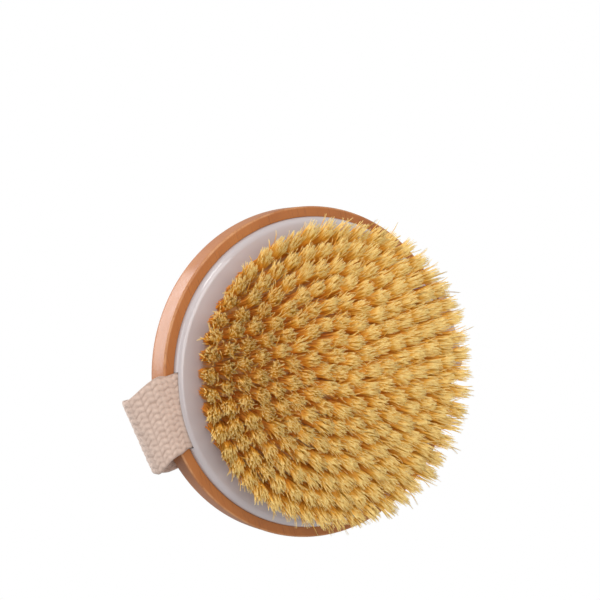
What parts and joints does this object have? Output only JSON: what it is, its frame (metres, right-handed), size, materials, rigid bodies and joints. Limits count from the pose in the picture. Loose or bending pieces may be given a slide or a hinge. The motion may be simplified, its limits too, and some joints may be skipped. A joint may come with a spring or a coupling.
{
  "type": "body dry brush",
  "caption": "Round palm-held dry brush: a turned wooden body, an inset white plate with rings of splayed natural bristle tufts, and a webbing hand strap looped over its back.",
  "frame": {"origin": "centre of the plane of the bristle tips, on which the brush stands, under the middle of its round body", "axes": "+Z from the bristle tips to the wooden back; X along the hand strap"},
  "size_m": [0.1532, 0.135, 0.0579],
  "materials": {
    "varnished_wood": "satin varnish",
    "white_plastic": "gloss moulded",
    "natural_bristle": "natural fibre",
    "cotton_webbing": "herringbone weave",
    "staple_steel": "bright wire"
  },
  "bodies": {
    "brush": {"wooden_body": "varnished_wood", "bristle_plate": "white_plastic", "centre_tuft": "natural_bristle", "tuft_sector_1": "natural_bristle", "tuft_sector_2": "natural_bristle", "tuft_sector_3": "natural_bristle", "tuft_sector_4": "natural_bristle", "tuft_sector_5": "natural_bristle", "tuft_sector_6": "natural_bristle", "strap_end_left": "cotton_webbing", "strap_end_right": "cotton_webbing", "strap_staple_1": "staple_steel", "strap_staple_2": "staple_steel", "strap_staple_3": "staple_steel", "strap_staple_4": "staple_steel"},
    "strap": {"strap_span": "cotton_webbing"}
  },
  "joints": [
    {"name": "strap_lift", "type": "slide", "parent": "brush", "child": "strap", "axis": [0, 0, 1], "range_m": [0, 0.018]}
  ]
}
